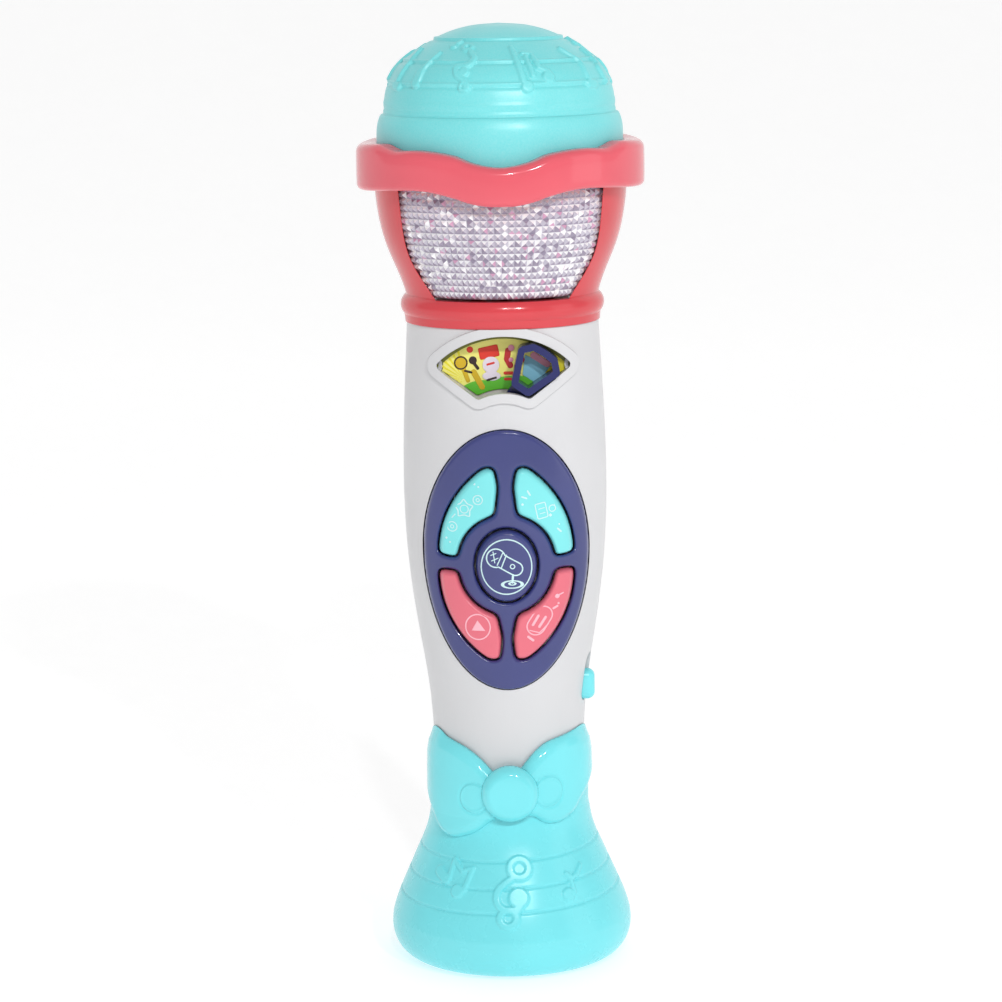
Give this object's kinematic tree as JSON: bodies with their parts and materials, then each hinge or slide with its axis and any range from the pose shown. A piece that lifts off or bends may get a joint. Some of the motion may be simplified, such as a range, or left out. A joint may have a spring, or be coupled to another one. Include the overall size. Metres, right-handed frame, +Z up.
{
  "type": "toy microphone",
  "caption": "Standing battery toy microphone: domed head with wavy ring and clear light window, white grip with picture selector and oval button panel, flared base with bow.",
  "frame": {"origin": "centre of the underside of the base", "axes": "+Z up along the grip to the dome, front (buttons and picture window) towards -Y, +X to the right seen from the front"},
  "size_m": [0.0726, 0.0726, 0.2403],
  "materials": {
    "teal_plastic": "satin gloss",
    "pink_plastic": "satin gloss",
    "white_plastic": "satin gloss",
    "navy_plastic": "gloss",
    "clear_plastic": "moulded prisms",
    "teal_button": "gloss",
    "pink_button": "gloss",
    "natural_plastic": "matte",
    "printed_card": "coated print",
    "soft_rubber": "matte",
    "black_rubber": "matte",
    "circuit_board": "solder mask",
    "black_plastic": "matte",
    "steel": "zinc plated",
    "spring_brass": "nickel flash",
    "cell_wrap": "printed sleeve",
    "cone_paper": "pressed paper",
    "led_lens": "milky",
    "wire_jacket": "insulation"
  },
  "bodies": {
    "microphone": {"dome_cap": "teal_plastic", "base_cup": "teal_plastic", "bow": "teal_plastic", "head_cage": "pink_plastic", "wave_ring": "pink_plastic", "handle_front": "white_plastic", "handle_rear": "white_plastic", "control_panel": "navy_plastic", "lens_bowl": "clear_plastic", "card_carrier": "natural_plastic", "battery_tray": "natural_plastic", "head_deck": "natural_plastic", "light_cone": "natural_plastic", "base_plate": "natural_plastic", "picture_card": "printed_card", "keypad_membrane": "soft_rubber", "mic_boot": "black_rubber", "foot_ring": "black_rubber", "key_board": "circuit_board", "main_board": "circuit_board", "selector_board": "circuit_board", "light_board": "circuit_board", "sound_chip": "black_plastic", "power_switch": "black_plastic", "capacitors": "black_plastic", "case_screws": "steel", "base_screws": "steel", "base_plate_screws": "steel", "key_board_screws": "steel", "carrier_screws": "steel", "deck_screws": "steel", "speaker_frame": "steel", "speaker_magnet": "steel", "mic_capsule": "steel", "battery_springs": "steel", "battery_contacts": "spring_brass", "battery_cells": "cell_wrap", "speaker_cone": "cone_paper", "leds": "led_lens", "speaker_wires": "wire_jacket", "battery_wires": "wire_jacket", "light_cable": "wire_jacket", "mic_cable": "wire_jacket"},
    "button_teal_left_body": {"button_teal_left": "teal_button"},
    "button_teal_right_body": {"button_teal_right": "teal_button"},
    "button_pink_left_body": {"button_pink_left": "pink_button"},
    "button_pink_right_body": {"button_pink_right": "pink_button"},
    "button_center_body": {"button_center": "navy_plastic"},
    "selector": {"selector_frame": "navy_plastic", "selector_wiper": "spring_brass", "selector_screw": "steel"},
    "power_slider": {"power_knob": "teal_plastic"},
    "battery_lid": {"battery_door": "white_plastic", "battery_door_screw": "steel"}
  },
  "joints": [
    {"name": "button_teal_left_press", "type": "slide", "parent": "microphone", "child": "button_teal_left_body", "axis": [0, 1, 0], "range_m": [0, 0.0012], "stiffness_N_per_m": 500},
    {"name": "button_teal_right_press", "type": "slide", "parent": "microphone", "child": "button_teal_right_body", "axis": [0, 1, 0], "range_m": [0, 0.0012], "stiffness_N_per_m": 500},
    {"name": "button_pink_left_press", "type": "slide", "parent": "microphone", "child": "button_pink_left_body", "axis": [0, 1, 0], "range_m": [0, 0.0012], "stiffness_N_per_m": 500},
    {"name": "button_pink_right_press", "type": "slide", "parent": "microphone", "child": "button_pink_right_body", "axis": [0, 1, 0], "range_m": [0, 0.0012], "stiffness_N_per_m": 500},
    {"name": "button_center_press", "type": "slide", "parent": "microphone", "child": "button_center_body", "axis": [0, 1, 0], "range_m": [0, 0.0012], "stiffness_N_per_m": 500},
    {"name": "selector_turn", "type": "hinge", "parent": "microphone", "child": "selector", "pos_m": [0, -0.0182, 0.145], "axis": [0, -1, 0], "range_deg": [0, 69]},
    {"name": "power_slide", "type": "slide", "parent": "microphone", "child": "power_slider", "axis": [0, 0, 1], "range_m": [0, 0.004]},
    {"name": "battery_door_tip", "type": "hinge", "parent": "microphone", "child": "battery_lid", "pos_m": [0, 0.0193, 0.0555], "axis": [-1, 0, 0], "range_deg": [0, 70]}
  ]
}
